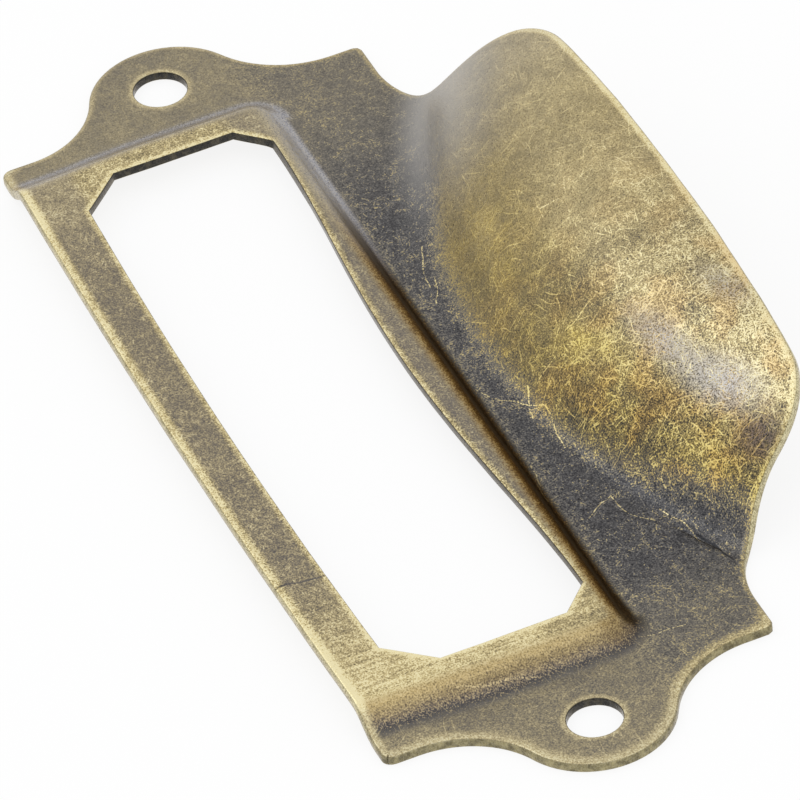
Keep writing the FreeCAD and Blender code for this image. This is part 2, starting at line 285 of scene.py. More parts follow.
def four_sided(left, right, top, bottom, shares):
    """Grid bounded by four paths: both pairs of sides blended, less the blend of the four corners."""
    down = np.linspace(0.0, 1.0, len(left))[:, None, None]
    over = shares[None, :, None]
    sides = left[:, None] * (1.0 - over) + right[:, None] * over
    ends = top[None] * (1.0 - down) + bottom[None] * down
    corners = (left[0] * (1.0 - over) + right[0] * over) * (1.0 - down)
    corners = corners + (left[-1] * (1.0 - over) + right[-1] * over) * down
    return sides + ends - corners


def step_depth(x, y):
    """Distance inside the tray's foot line, rounded at its two corners, drawn in at the open edge."""
    over_x = np.abs(x) - (FOOT_X - FOOT_CORNER_R)
    over_y = FOOT_Y + FOOT_CORNER_R - y
    round_part = np.hypot(np.maximum(over_x, 0.0), np.maximum(over_y, 0.0))
    depth = FOOT_CORNER_R - round_part - np.minimum(np.maximum(over_x, over_y), 0.0)
    return depth - END_SKEW * ramp(y, 3.0, 12.0)


def root_depth(x, y):
    """Distance inside the arc where the lip leaves the plate."""
    return LIP_ROOT_R - np.hypot(x, y - LIP_AXIS_Y)


def foot_radius(x, y):
    """Radius of the foot bend: tight along the lip side, wide at both ends, tightening to the open edge."""
    widened = ramp(np.abs(x), 24.0, 29.0) * (1.0 - FOOT_TIGHTENING * ramp(y, 6.0, 12.0))
    return FOOT_BEND_R + (END_FOOT_BEND_R - FOOT_BEND_R) * widened


def step_rise(depth, foot_bend):
    """Height of the step: hollow foot bend, straight slope, rounded head bend, flat of the tray."""
    foot_start = (FOOT_BEND_R - foot_bend) * math.tan(STEP_SLOPE / 2.0)
    foot_run = foot_bend * math.sin(STEP_SLOPE)
    head_start = STEP_RUN - HEAD_BEND_R * math.sin(STEP_SLOPE)
    low = np.clip(depth - foot_start, 0.0, foot_run)
    high = np.clip(STEP_RUN - depth, 0.0, STEP_RUN - head_start)
    foot = foot_bend - np.sqrt(foot_bend ** 2 - low ** 2)
    head = TRAY_RISE - HEAD_BEND_R + np.sqrt(HEAD_BEND_R ** 2 - high ** 2)
    slope_start = FOOT_BEND_R * math.sin(STEP_SLOPE)
    slope = FOOT_BEND_R * (1.0 - math.cos(STEP_SLOPE)) + (depth - slope_start) * math.tan(STEP_SLOPE)
    return np.where(depth < foot_start + foot_run, foot, np.where(depth < head_start, slope, head))


def lip_rise(depth):
    """Height of the lip: hollow root bend, then the long dome tangent to it."""
    root_end = ROOT_BEND_R * math.sin(LIP_SLOPE)
    reach = ROOT_BEND_R + DOME_R
    dome_depth = reach * math.sin(LIP_SLOPE)
    dome_height = ROOT_BEND_R - reach * math.cos(LIP_SLOPE)
    low = np.clip(depth, 0.0, root_end)
    root = ROOT_BEND_R - np.sqrt(ROOT_BEND_R ** 2 - low ** 2)
    far = np.clip(depth, root_end, None) - dome_depth
    dome = dome_height + np.sqrt(np.maximum(DOME_R ** 2 - far ** 2, 0.0))
    return np.where(depth < root_end, root, dome)


def eased(profile, depth, reach):
    """A profile averaged over a short reach to both sides, so that its bends run softly into each other."""
    shares = np.array([1.0, 4.0, 6.0, 4.0, 1.0]) / 16.0
    places = np.linspace(-1.0, 1.0, 5)
    return sum(share * profile(depth + place * reach) for share, place in zip(shares, places))


def ramp(value, low, high):
    """Smooth step from 0 at low to 1 at high."""
    share = np.clip((value - low) / (high - low), 0.0, 1.0)
    return share * share * (3.0 - 2.0 * share)


def ripple(x, y):
    """Slow unevenness of hand-finished sheet: a sum of crossing waves a few millimetres long."""
    waves = np.sin(0.83 * x + 0.31 * y + 0.4) + np.sin(-0.47 * x + 0.92 * y + 1.7)
    waves = waves + 0.6 * np.sin(1.71 * x - 0.66 * y + 2.9) + 0.6 * np.sin(0.58 * x + 1.83 * y + 0.8)
    return waves / 3.2


def sheet_point(x, y):
    """Point of the upper skin: plate, step and lip, slightly uneven, with a card edge slightly askew."""
    inside = step_depth(x, y)
    root = root_depth(x, y)
    uneven = TRAY_UNEVEN * ramp(inside, 1.7, 3.0) + LIP_UNEVEN * ramp(root, 1.0, 5.0)
    bend = foot_radius(x, y)
    step_ease = END_STEP_EASE * ramp(np.abs(x), 24.0, 28.0) * ramp(y, 4.0, 11.0)
    step_ease = np.maximum(step_ease, FAR_STEP_EASE * ramp(x, 8.0, 20.0))
    lip_ease = LIP_EASE + FAR_LIP_EASE * ramp(x, -16.0, -2.0)
    step = eased(lambda depth: step_rise(depth, bend), inside, step_ease)
    height = SHEET + step + eased(lip_rise, root, lip_ease) + uneven * ripple(x, y)
    askew = -STRIP_ASKEW * x * ramp(y, 3.0, 11.0)
    return np.stack([x, y + askew, height], axis=-1)


def sheet_normal(x, y):
    """Unit normal of the upper skin, from the cross product of small steps along X and Y."""
    small = 0.01
    by_x = sheet_point(x + small, y) - sheet_point(x - small, y)
    by_y = sheet_point(x, y + small) - sheet_point(x, y - small)
    normal = np.cross(by_x, by_y)
    return normal / np.linalg.norm(normal, axis=-1, keepdims=True)


def face_point(x, y):
    """Point of the face: the upper skin with a pressed crease at the lip's root and one across the strip."""
    from_root = (root_depth(x, y) - ROOT_CREASE_PLACE) / ROOT_CREASE_WIDTH
    from_crease = (x - STRIP_CREASE_X + STRIP_CREASE_SLANT * (y - 11.0)) / STRIP_CREASE_WIDTH
    root_crease = ROOT_CREASE_DEPTH * np.exp(-from_root ** 2) * ramp(-x, 20.0, 23.5)
    strip_crease = STRIP_CREASE_DEPTH * np.exp(-from_crease ** 2) * ramp(y, 9.0, 9.4)
    points = sheet_point(x, y)
    points[..., 2] = points[..., 2] - root_crease - strip_crease
    return points


def back_point(x, y):
    """Point of the back, one sheet thickness along the normal below the upper skin."""
    return sheet_point(x, y) - SHEET * sheet_normal(x, y)


class Patchwork:
    """Collects grids of points, with a value for each point, into one welded mesh."""

    def __init__(self):
        self.points = []
        self.quads = []
        self.plan = []
        self.sides = []
        self.openings = []
        self.count = 0

    def add(self, points, plan, sides, flip, closed=False, opening=0.0):
        """Adds a grid as quads between neighbouring columns and rows; flip turns its faces over."""
        columns, rows = points.shape[:2]
        index = self.count + np.arange(columns * rows).reshape(columns, rows)
        if closed:
            index = np.concatenate([index, index[:1]])
        quads = [index[:-1, :-1], index[1:, :-1], index[1:, 1:], index[:-1, 1:]]
        quads = np.stack(quads[::-1] if flip else quads, axis=-1).reshape(-1, 4)
        self.points.append(points.reshape(-1, 3))
        self.plan.append(np.broadcast_to(plan, points.shape[:2] + (2,)).reshape(-1, 2))
        self.sides.append(np.broadcast_to(sides, points.shape[:2]).reshape(-1))
        self.openings.append(np.full(columns * rows, opening))
        self.quads.append(quads)
        self.count = self.count + columns * rows

    def skins(self, grid, flip):
        """Adds the face above a plan grid and the back below it."""
        self.add(face_point(grid[..., 0], grid[..., 1]), grid, 1.0, flip)
        self.add(back_point(grid[..., 0], grid[..., 1]), grid, -1.0, not flip)

    def rim(self, loop, inward, face_round, back_round):
        """Adds a cut wall carried round a closed loop: face round, upright wall, back round, return."""
        top = face_point(loop[:, 0], loop[:, 1])
        back = back_point(loop[:, 0], loop[:, 1])
        ahead = np.roll(back, -1, axis=0) - np.roll(back, 1, axis=0)
        out = np.cross(sheet_normal(loop[:, 0], loop[:, 1]), ahead)
        out = out / np.linalg.norm(out, axis=1, keepdims=True)
        if inward:
            out = -out
        turn = np.linspace(0.0, math.pi / 2.0, FACE_ROUND_POINTS)
        low_turn = np.linspace(0.0, math.pi / 2.0, BACK_ROUND_POINTS)
        reach = np.concatenate([face_round * np.sin(turn),
                                face_round - back_round * (1.0 - np.cos(low_turn)), [0.0]])
        drop = np.concatenate([face_round * (1.0 - np.cos(turn)),
                               SHEET - back_round * (1.0 - np.sin(low_turn)), [SHEET]])
        wall = np.concatenate([1.0 - np.sin(turn), -np.sin(low_turn), [-1.0]])
        share = (drop / SHEET)[None, :, None]
        points = top[:, None] * (1.0 - share) + back[:, None] * share + out[:, None] * reach[None, :, None]
        self.add(points, loop[:, None], wall[None], inward, closed=True, opening=float(inward))

    def mesh(self, name, edges):
        """Writes the welded mesh, with the values that the finish reads."""
        plan = np.concatenate(self.plan)
        values = {
            "edge_mm": nearest(plan, edges),
            "step_mm": np.clip(step_depth(plan[:, 0], plan[:, 1]), *STEP_RANGE),
            "root_mm": np.clip(root_depth(plan[:, 0], plan[:, 1]), *ROOT_RANGE),
            "skin": np.concatenate(self.sides),
            "opening": np.concatenate(self.openings),
        }
        mesh = bpy.data.meshes.new(name)
        mesh.from_pydata(np.concatenate(self.points) * MM, [], np.concatenate(self.quads))
        for key, value in values.items():
            layer = mesh.attributes.new(key, "FLOAT", "POINT")
            layer.data.foreach_set("value", value.astype(np.float32))
        welded = bmesh.new()
        welded.from_mesh(mesh)
        bmesh.ops.remove_doubles(welded, verts=welded.verts, dist=WELD)
        welded.to_mesh(mesh)
        welded.free()
        mesh.polygons.foreach_set("use_smooth", np.ones(len(mesh.polygons), dtype=bool))
        mesh.update()
        return mesh


def nearest(spots, edges):
    """Distance from each spot to the nearest edge point, worked out a block of spots at a time."""
    found = []
    for block in np.array_split(spots, DISTANCE_BLOCKS):
        gap = (block[:, None, 0] - edges[None, :, 0]) ** 2 + (block[:, None, 1] - edges[None, :, 1]) ** 2
        found.append(np.sqrt(gap.min(axis=1)))
    return np.concatenate(found)


def formed_sheet():
    """The stamped sheet: plan grids of the right half, their mirror images, and a rim round each edge."""
    outline = outline_sections()
    outer = shifted(outline, -OUTER_ROUND)
    window = shifted(window_sections(), WINDOW_ROUND)
    card, step, top, end, ear, low, lip = outer
    head_x = FOOT_X - STEP_RUN
    # The step keeps its own columns, so that it meets the corner point for point
    step[:, 0] = np.linspace(head_x, FOOT_X, STEP_ROWS + 1)
    card[-1] = step[0]
    top[0] = step[-1]
    corner = np.array([FOOT_X - FOOT_CORNER_R, FOOT_Y + FOOT_CORNER_R])
    end_shares = np.linspace(0.0, 1.0, END_COLUMNS + 1)
    step_shares = np.linspace(0.0, 1.0, STEP_ROWS + 1)
    ear_y = np.linspace(EAR_TOP_Y, corner[1], EAR_COLUMNS + 1)

    # Step in plan, from its head to its foot: end, beside the ear, corner and lip side
    end_step = np.stack(np.broadcast_arrays(
        step[None, :, 0],
        step[None, :, 1] * (1.0 - end_shares[:, None]) + EAR_TOP_Y * end_shares[:, None]), axis=-1)
    ear_step = np.stack(np.broadcast_arrays(step[None, :, 0], ear_y[:, None]), axis=-1)
    turn = np.radians(np.linspace(0.0, -90.0, CORNER_COLUMNS + 1))[:, None]
    radius = (FOOT_CORNER_R - STEP_RUN) * (1.0 - step_shares) + FOOT_CORNER_R * step_shares
    corner_step = np.stack([corner[0] + radius * np.cos(turn), corner[1] + radius * np.sin(turn)], axis=-1)
    lip_x = np.linspace(corner[0], 0.0, LIP_COLUMNS + 1)
    lip_step_y = FOOT_Y + STEP_RUN * (1.0 - step_shares)
    lip_step = np.stack(np.broadcast_arrays(lip_x[:, None], lip_step_y[None]), axis=-1)

    # Tray, from the window to the head of the step or to the open edge
    head = [card, end_step[:, 0], ear_step[:, 0], corner_step[:, 0], lip_step[:, 0]]
    tray_shares = 0.5 - 0.5 * np.cos(np.pi * np.linspace(0.0, 1.0, TRAY_ROWS + 1))
    tray = [between(inner, border, tray_shares) for inner, border in zip(window, head)]

    # Plate, from the foot of the step to the outline
    plate_shares = row_shares(OUTER_ROOT_SHARE)
    end_foot = end_step[:, -1]
    end_side = between(end_foot[-1:], ear[:1], plate_shares)[0]
    end_plate = four_sided(end_foot, end, top, end_side, plate_shares)
    corner_plate = between(corner_step[:, -1], low, plate_shares)
    foot = lip_step[:, -1]
    reach = between(foot, lip, np.linspace(0.0, 1.0, TRIAL_POINTS))
    crossing = (root_depth(reach[..., 0], reach[..., 1]) < 0.0).sum(axis=1) / TRIAL_POINTS
    lip_plate = between(foot, lip, row_shares(np.minimum(crossing, OUTER_ROOT_SHARE)))

    # Ear, from the screw hole out to a closed border
    ear_foot = ear_step[:, -1]
    border = chain(end_side, ear, corner_plate[0][::-1], ear_foot[::-1])[:-1]
    spoke = border - (HOLE_X, 0.0)
    hole = spoke / np.hypot(spoke[:, 0], spoke[:, 1])[:, None] * (HOLE_R + HOLE_ROUND) + (HOLE_X, 0.0)
    ear_shares = np.linspace(0.0, 1.0, EAR_ROWS + 1) ** EAR_CROWDING
    ear_plate = between(np.concatenate([hole, hole[:1]]), np.concatenate([border, border[:1]]), ear_shares)

    work = Patchwork()
    steps = [end_step, ear_step, corner_step, lip_step]
    plates = [end_plate, corner_plate, lip_plate, ear_plate]
    for grid in tray + steps + plates:
        work.skins(grid, False)
        work.skins(grid * (-1.0, 1.0), True)
    outer_half = chain(card, step, top, end, ear, low, lip)
    window_half = chain(*window)
    outer_loop = np.concatenate([outer_half, outer_half[-2:0:-1] * (-1.0, 1.0)])
    window_loop = np.concatenate([window_half, window_half[-2:0:-1] * (-1.0, 1.0)])
    work.rim(outer_loop, False, OUTER_ROUND, BACK_ROUND)
    work.rim(window_loop, True, WINDOW_ROUND, BACK_ROUND)
    work.rim(hole, True, HOLE_ROUND, BACK_ROUND)
    work.rim(hole[::-1] * (-1.0, 1.0), True, HOLE_ROUND, BACK_ROUND)
    hole_ring = arc((HOLE_X, 0.0), HOLE_R, 0.0, 360.0, HOLE_POINTS)
    half_edges = np.concatenate(outline + window_sections() + [hole_ring])
    return work.mesh("label_frame_pull_sheet", np.concatenate([half_edges, half_edges * (-1.0, 1.0)]))


class Wire:
    """An output socket in a material; sums and products of wires add Math nodes."""

    def __init__(self, tree, socket=None):
        self.tree = tree
        self.socket = socket

    def add(self, kind, settings, sockets, output=0):
        """Adds any node: its settings first, then a value or a wire for each named or numbered socket."""
        node = self.tree.nodes.new(kind)
        for key, value in settings.items():
            if key == "stops":
                self.set_stops(node.color_ramp.elements, value)
            else:
                setattr(node, key, value)
        for key, value in sockets.items():
            if isinstance(value, Wire):
                self.tree.links.new(value.socket, node.inputs[key])
            else:
                node.inputs[key].default_value = value
        return Wire(self.tree, node.outputs[output] if node.outputs else None)

    @staticmethod
    def set_stops(elements, stops):
        """Gives a colour ramp its stops, each a position and a colour."""
        while len(elements) < len(stops):
            elements.new(1.0)
        for element, (spot, tone) in zip(elements, stops):
            element.position = spot
            element.color = tone

    def math(self, operation, first, second=0.0):
        """Math node on two values or wires."""
        return self.add("ShaderNodeMath", {"operation": operation}, {0: first, 1: second})

    def __add__(self, other):
        return self.math("ADD", self, other)

    def __radd__(self, other):
        return self.math("ADD", other, self)

    def __sub__(self, other):
        return self.math("SUBTRACT", self, other)

    def __rsub__(self, other):
        return self.math("SUBTRACT", other, self)

    def __mul__(self, other):
        return self.math("MULTIPLY", self, other)

    def __rmul__(self, other):
        return self.math("MULTIPLY", other, self)

    def __abs__(self):
        return self.math("ABSOLUTE", self)

    def larger(self, other):
        """The larger of two values."""
        return self.math("MAXIMUM", self, other)

    def smaller(self, other):
        """The smaller of two values."""
        return self.math("MINIMUM", self, other)

    def ramp(self, low, high, start=0.0, end=1.0):
        """Smooth step of this value: start at low and below, end at high and above."""
        settings = {"interpolation_type": "SMOOTHSTEP"}
        sockets = {"Value": self, "From Min": low, "From Max": high, "To Min": start, "To Max": end}
        return self.add("ShaderNodeMapRange", settings, sockets)

    def blend(self, first, second):
        """Colour between two colours, by this value."""
        settings = {"data_type": "RGBA", "clamp_factor": True}
        return self.add("ShaderNodeMix", settings, {0: self, 6: first, 7: second}, 2)

    def tinted(self, mask, tone):
        """This colour multiplied by a tone where the mask is 1."""
        settings = {"data_type": "RGBA", "blend_type": "MULTIPLY", "clamp_factor": True}
        return self.add("ShaderNodeMix", settings, {0: mask, 6: self, 7: tone}, 2)

    def vector(self, operation, first, sockets, output="Vector"):
        """Vector Math node on a vector wire."""
        return self.add("ShaderNodeVectorMath", {"operation": operation}, {0: first, **sockets}, output)


def colour(code):
    """Linear colour for a six-digit screen colour."""
    parts = [int(code[place:place + 2], 16) / 255.0 for place in (0, 2, 4)]
    linear = [part / 12.92 if part <= 0.04045 else ((part + 0.055) / 1.055) ** 2.4 for part in parts]
    return (*linear, 1.0)


# Patina from the darkest hollow to bare brass, by how far it is rubbed through
PATINA = ((0.0, "222226"), (0.18, "423f3c"), (0.36, "665c47"), (0.54, "8b7d57"), (0.72, "b2a173"),
          (0.88, "d2c18c"), (1.0, "e9ddae"))

# Tones across the step from its foot to its head: lip side, painted amber reflection of the lip with painted
# shade at its foot; near end, painted shade at its dark foot and on its brown slope, paler towards its head;
# far end, painted cool grey highlight
AMBER_REFLECTION_STEP = ((0.0, "45433f"), (0.1, "362a1b"), (0.25, "442d12"), (0.45, "503616"), (0.65, "563d1c"),
              (0.82, "6e5429"), (0.93, "967c4b"), (1.0, "857759"))
END_STEP_SHADE = ((0.0, "6f6757"), (0.14, "5a5754"), (0.24, "343236"), (0.34, "5b524a"), (0.5, "7a6a50"),
            (0.68, "98855c"), (0.86, "b59f6c"), (1.0, "c9b583"))
FAR_STEP_HIGHLIGHT = ((0.0, "6f695c"), (0.16, "8d8e96"), (0.36, "a3a4ab"), (0.6, "a5a5a8"), (0.78, "968f82"),
            (0.9, "9d9480"), (1.0, "a99d7e"))

# Places on the lip rubbed more or less: amount, middle in plan, half length, half width, turn in degrees
LIP_RUBS = (
    (-0.14, (-21.4, -17.8), 3.4, 2.2, 30.0),
    (-0.13, (-11.7, -18.2), 4.0, 1.6, 20.0),
    (-0.12, (-2.9, -13.7), 4.8, 2.0, 15.0),
    (-0.07, (-3.5, -17.7), 4.5, 2.0, 15.0),
    (0.14, (-7.2, -12.2), 11.0, 1.7, 14.6),
    (-0.15, (-9.6, -9.8), 3.2, 1.5, 10.0),
    (0.1, (-19.3, -14.4), 4.0, 1.8, 30.0),
    (-0.1, (-14.6, -11.4), 4.6, 1.5, 18.0),
    (0.12, (7.2, -11.4), 3.0, 1.5, -20.0),
)

# Yellow places on the lip: middle, half length, half width, turn
GOLD_PATCHES = (
    ((8.0, -10.8), 2.6, 1.5, -20.0),
    ((5.6, -12.2), 2.2, 1.4, -20.0),
    ((-7.2, -12.2), 11.0, 2.2, 14.6),
)
# Painted highlight in three pale places along the lip's shoulder, and a dark purple-grey place at its near
# end: share, tone, middle, half length, half width, turn
HIGHLIGHT_AND_DARK_PATCHES = (
    (0.6, "b6b3b1", (-16.8, -17.4), 5.0, 2.3, 25.0),
    (0.55, "a8a29d", (-12.0, -15.9), 6.8, 1.7, 12.0),
    (0.35, "a29c96", (-10.6, -20.4), 4.2, 1.5, 15.0),
    (0.4, "5d5055", (-21.4, -17.8), 3.2, 2.2, 30.0),
)

# Scratches that show bare metal, as points in plan joined by straight runs
BRIGHT_SCRATCHES = (
    ((-3.1, -5.9), (-4.3, -6.7), (-5.3, -7.6), (-7.3, -8.9), (-9.8, -8.6), (-11.1, -8.5)),
    ((-17.7, -12.4), (-17.9, -12.1), (-18.5, -12.1), (-18.6, -12.3)),
    ((-17.9, -7.2), (-16.8, -8.5), (-16.5, -9.3), (-18.8, -9.7), (-20.5, -10.8)),
    ((-19.5, -11.3), (-21.5, -12.0), (-22.9, -12.1)),
    ((-5.1, -8.6), (-7.6, -7.8)),
    ((-5.6, -10.5), (-5.6, -9.4)),
    ((-29.6, -5.2), (-29.8, -6.3), (-29.8, -8.2)),
    ((-29.3, 6.6), (-29.8, 4.0), (-30.2, 1.6)),
    ((11.6, -8.4), (9.6, -7.6), (7.7, -7.2)),
    ((8.4, -8.0), (5.9, -7.1)),
    ((4.5, -14.3), (4.2, -15.2)),
    ((-11.6, -5.9), (-13.4, -5.75)),
    ((-13.2, -5.6), (-15.4, -5.5)),
)
# Painted shade along two pressed creases, one across the card strip and one at the near end of the lip's
# root, as points in plan joined by straight runs
CREASE_SHADE_LINES = (
    ((-15.9, 12.9), (-16.1, 11.4), (-16.35, 9.9)),
    ((-22.6, -12.25), (-24.0, -12.75), (-25.9, -13.4)),
)
SCRATCH_WIDTH = 0.065
CREASE_WIDTH = 0.11

# Directions of the hair lines in degrees, how far they bend, and pits to the millimetre
FINE_HAIR_TURNS = (8.0, 37.0, 71.0, 104.0, 139.0, 163.0)
LONG_HAIR_TURNS = (22.0, 58.0, 96.0, 128.0, 170.0)
HAIR_BEND = 0.9
PIT_SCALE = 1.7

# Scale that takes the height out of a plan pattern
FLAT = 1000.0

# Tint of the brass at a glancing angle, the lacquer over it, and the depth of the bump in metres
GLANCING_TINT = (0.8, 0.74, 0.66, 1.0)
LACQUER_ROUGHNESS = 0.22
LACQUER_IOR = 1.5
BUMP_DEPTH = 0.00005


def shades(stops):
    """Ramp stops with linear colours."""
    return [(spot, colour(code)) for spot, code in stops]


def antique_brass():
    """Brass with a brown and grey patina, rubbed through on the edges, the lip and in fine hair lines."""
    material = bpy.data.materials.new("antique_brass")
    material.use_nodes = True
    tree = material.node_tree
    tree.nodes.clear()
    start = Wire(tree)
    place = start.add("ShaderNodeTexCoord", {}, {}, "Object")
    place = start.vector("SCALE", place, {"Scale": 1.0 / MM})
    x = start.add("ShaderNodeSeparateXYZ", {}, {0: place}, 0)
    y = start.add("ShaderNodeSeparateXYZ", {}, {0: place}, 1)
    plan = start.add("ShaderNodeCombineXYZ", {}, {0: x, 1: y})

    def value(name):
        """Value that the mesh stores at each point."""
        return start.add("ShaderNodeAttribute", {"attribute_name": name}, {}, "Fac")

    def noise(where, scale, detail=3.0, roughness=0.55, output=0):
        """Cloudy pattern; the scale multiplies the places that it reads."""
        sockets = {"Vector": where, "Scale": scale, "Detail": detail, "Roughness": roughness}
        return start.add("ShaderNodeTexNoise", {}, sockets, output)

    def turned(where, degrees, length, width, shift=(0.0, 0.0)):
        """Places in plan measured from a shifted and turned frame, in units of a length and a width."""
        turn = (0.0, 0.0, math.radians(degrees))
        size = (length, width, FLAT)
        sockets = {"Vector": where, "Location": (*shift, 0.0), "Rotation": turn, "Scale": size}
        return start.add("ShaderNodeMapping", {"vector_type": "TEXTURE"}, sockets)

    def patch(spot, length, width, degrees):
        """Soft oval in plan: 1 at the spot, 0 at its rim."""
        sized = turned(plan, degrees, length, width, spot)
        return start.vector("LENGTH", sized, {}, "Value").ramp(0.0, 1.0, 1.0, 0.0)

    edge = value("edge_mm")
    inside = value("step_mm")
    root = value("root_mm")
    skin = value("skin")
    opening = value("opening")

    # Patterns from the size of a hand's rub down to the grain of the metal
    broad = noise(place, 0.17, 3.0)
    cloud = noise(place, 0.5, 4.0, 0.6)
    mottle = noise(place, 1.9, 4.0, 0.6)
    grain = noise(place, 10.0, 0.0)
    hue = noise(place, 0.33, 2.0)
    brushed = noise(turned(place, 90.0, 6.0, 0.3), 1.0, 2.0)
    drift = noise(place, 0.45, 1.0, 0.5, "Color")
    drift = start.vector("SUBTRACT", drift, {1: (0.5, 0.5, 0.5)})
    drift = start.vector("SCALE", drift, {"Scale": HAIR_BEND})
    bent = start.vector("ADD", place, {1: drift})

    def hairs(angles, length, width, low, high):
        """Short hair lines: noise stretched along each direction, kept where it peaks."""
        found = None
        for number, degrees in enumerate(angles):
            streak = noise(turned(bent, degrees, length, width, (3.7 * number, 5.3 * number)), 1.0, 0.0)
            line = streak.ramp(low, high)
            found = line if found is None else found.larger(line)
        return found

    fine_hair = hairs(FINE_HAIR_TURNS, 0.8, 0.10, 0.62, 0.80)
    long_hair = hairs(LONG_HAIR_TURNS, 2.6, 0.10, 0.73, 0.82)
    cells = {"Vector": place, "Scale": PIT_SCALE}
    pits = start.add("ShaderNodeTexVoronoi", {"feature": "F1"}, cells, "Distance").ramp(0.06, 0.13, 1.0, 0.0)

    def scratches(paths, width):
        """1 on the runs between the given points, 0 the given width away."""
        found = None
        for path in paths:
            for first, second in zip(path[:-1], path[1:]):
                middle = ((first[0] + second[0]) / 2.0, (first[1] + second[1]) / 2.0)
                half = math.dist(first, second) / 2.0
                along_run = turned(bent, bearing(first, second), 1.0, 1.0, middle)
                run_x = abs(start.add("ShaderNodeSeparateXYZ", {}, {0: along_run}, 0)) - half
                run_y = abs(start.add("ShaderNodeSeparateXYZ", {}, {0: along_run}, 1))
                line = run_x.larger(run_y).ramp(0.3 * width, width, 1.0, 0.0)
                found = line if found is None else found.larger(line)
        return found

    bright = scratches(BRIGHT_SCRATCHES, SCRATCH_WIDTH) * (mottle + grain).ramp(0.75, 1.0)
    # Painted shade in the creases, broken by the mottle and grain
    crease_shade = scratches(CREASE_SHADE_LINES, CREASE_WIDTH) * (mottle + grain).ramp(0.55, 0.85)

    # How far the patina is rubbed through, by region
    near = x.ramp(12.0, -18.0)
    ragged = (mottle - 0.5) * 1.2 + (grain - 0.5) * 1.4
    lip_start = 0.7 + 1.7 * x.ramp(-9.0, -23.0) + 1.4 * x.ramp(8.0, 20.0)
    on_lip = (root - lip_start + ragged).ramp(-0.8, 1.3)
    on_tray = inside.ramp(0.9, 1.7)
    valley = (1.0 - on_lip) * (1.0 - on_tray) * (y + ragged * 1.5).ramp(-4.0, -7.0)
    valley = valley * (1.0 - 0.6 * x.ramp(14.0, 30.0)) * (1.0 - 0.45 * x.ramp(-22.0, -31.0))
    on_plate = (1.0 - on_lip) * (1.0 - on_tray)
    bare_end = x.ramp(-14.0, -27.0)
    lip_side = y.ramp(-1.0, -2.6)
    tray_rub = 0.46 + 0.32 * bare_end + 0.16 * x.ramp(21.0, 25.0) - 0.06 * lip_side * (1.0 - bare_end)
    tray_rub = tray_rub + bare_end * (0.03 + (brushed - 0.5) * 0.75 - 0.16 * y.ramp(4.0, -4.0))
    plate_rub = 0.47 + (broad - 0.5) * 0.3
    lip_rub = 0.52 + 0.11 * root.ramp(4.0, 10.0) - 0.09 * near * root.ramp(8.0, 3.0) + (broad - 0.5) * 0.25
    for amount, spot, length, width, degrees in LIP_RUBS:
        lip_rub = lip_rub + amount * patch(spot, length, width, degrees)
    rub = plate_rub * (1.0 - on_tray) + tray_rub * on_tray
    rub = rub * (1.0 - valley) + 0.25 * valley
    rub = rub * (1.0 - on_lip) + lip_rub * on_lip
    worn_edge = (edge + (mottle - 0.5) * 0.5).ramp(0.12, 0.55, 1.0, 0.0)
    open_edge = (edge + (mottle - 0.5) * 0.4).ramp(0.3, 0.85, 1.0, 0.0) * y.ramp(10.6, 11.4) * 1.25
    lip_edge = (edge + (mottle - 0.5) * 0.2).ramp(0.3, 0.6, 1.0, 0.0) * root.ramp(4.0, 8.0)
    ear_edge = (edge + (mottle - 0.5) * 0.5).ramp(0.25, 1.1, 1.2, 0.0) * x.ramp(-29.5, -32.0)
    ear_edge = ear_edge * patch((-HOLE_X, 0.0), 3.8, 3.8, 0.0).ramp(0.0, 0.2, 1.0, 0.0)
    worn = worn_edge.larger(open_edge).larger(lip_edge).larger(ear_edge)
    rub = rub + (cloud - 0.5) * 0.22 + (mottle - 0.5) * (0.26 - 0.08 * on_lip)
    grainy = 0.38 + 0.3 * near * (1.0 - 0.5 * valley) + 0.35 * on_tray * (1.0 - 0.6 * bare_end)
    grainy = grainy + near * on_lip * (0.3 + 0.3 * near)
    rub = rub + (grain - 0.5) * grainy
    hair_share = (cloud + mottle).ramp(0.8, 1.15) * (1.0 - 0.7 * valley)
    hair_share = hair_share * (0.35 + 0.65 * (near * on_lip).larger(on_tray * (1.0 - bare_end)))
    flecks = fine_hair * valley * (cloud + mottle + grain).ramp(1.5, 1.75)
    rub = rub + fine_hair * hair_share * (0.36 + 0.3 * near * on_lip) + flecks * 0.32
    rub = rub + long_hair * (0.1 + 0.12 * near + (0.08 + 0.2 * near) * on_lip)
    rub = rub + bright * 0.48 - crease_shade * 0.45 - pits * (0.1 + 0.4 * near * on_lip) + worn * 0.32
    rub = rub.smaller(1.0).larger(0.0)
    tone = start.add("ShaderNodeValToRGB", {"stops": shades(PATINA)}, {0: rub})

    # Yellower brass above the lip's root and greyer patina in the hollow; painted highlight on the lip's
    # shoulder, and painted sheen over greyer patina at the far end
    gold = on_lip * root.ramp(9.0, 3.0) * x.ramp(18.0, 8.0)
    for spot, length, width, degrees in GOLD_PATCHES:
        gold = gold.larger(patch(spot, length, width, degrees))
    tone = tone.tinted(gold * (0.35 + cloud), colour("fbf2b8"))
    tone = tone.tinted(on_lip * near * hue.ramp(0.42, 0.62) * 0.62, colour("f0d6b6"))
    slate = valley * rub.ramp(0.62, 0.45)
    tone = start.add("ShaderNodeHueSaturation", {}, {"Saturation": 0.35, "Fac": slate, "Color": tone})
    tone = tone.tinted(slate, colour("eceffc"))
    tone = (on_plate * (1.0 - valley) * 0.3).blend(tone, colour("8a857c"))
    strip = on_tray * (y.ramp(8.5, 9.5) * 0.35 + lip_side * 0.45) * (1.0 - bare_end) * (1.0 - worn)
    tone = strip.blend(tone, colour("807870"))
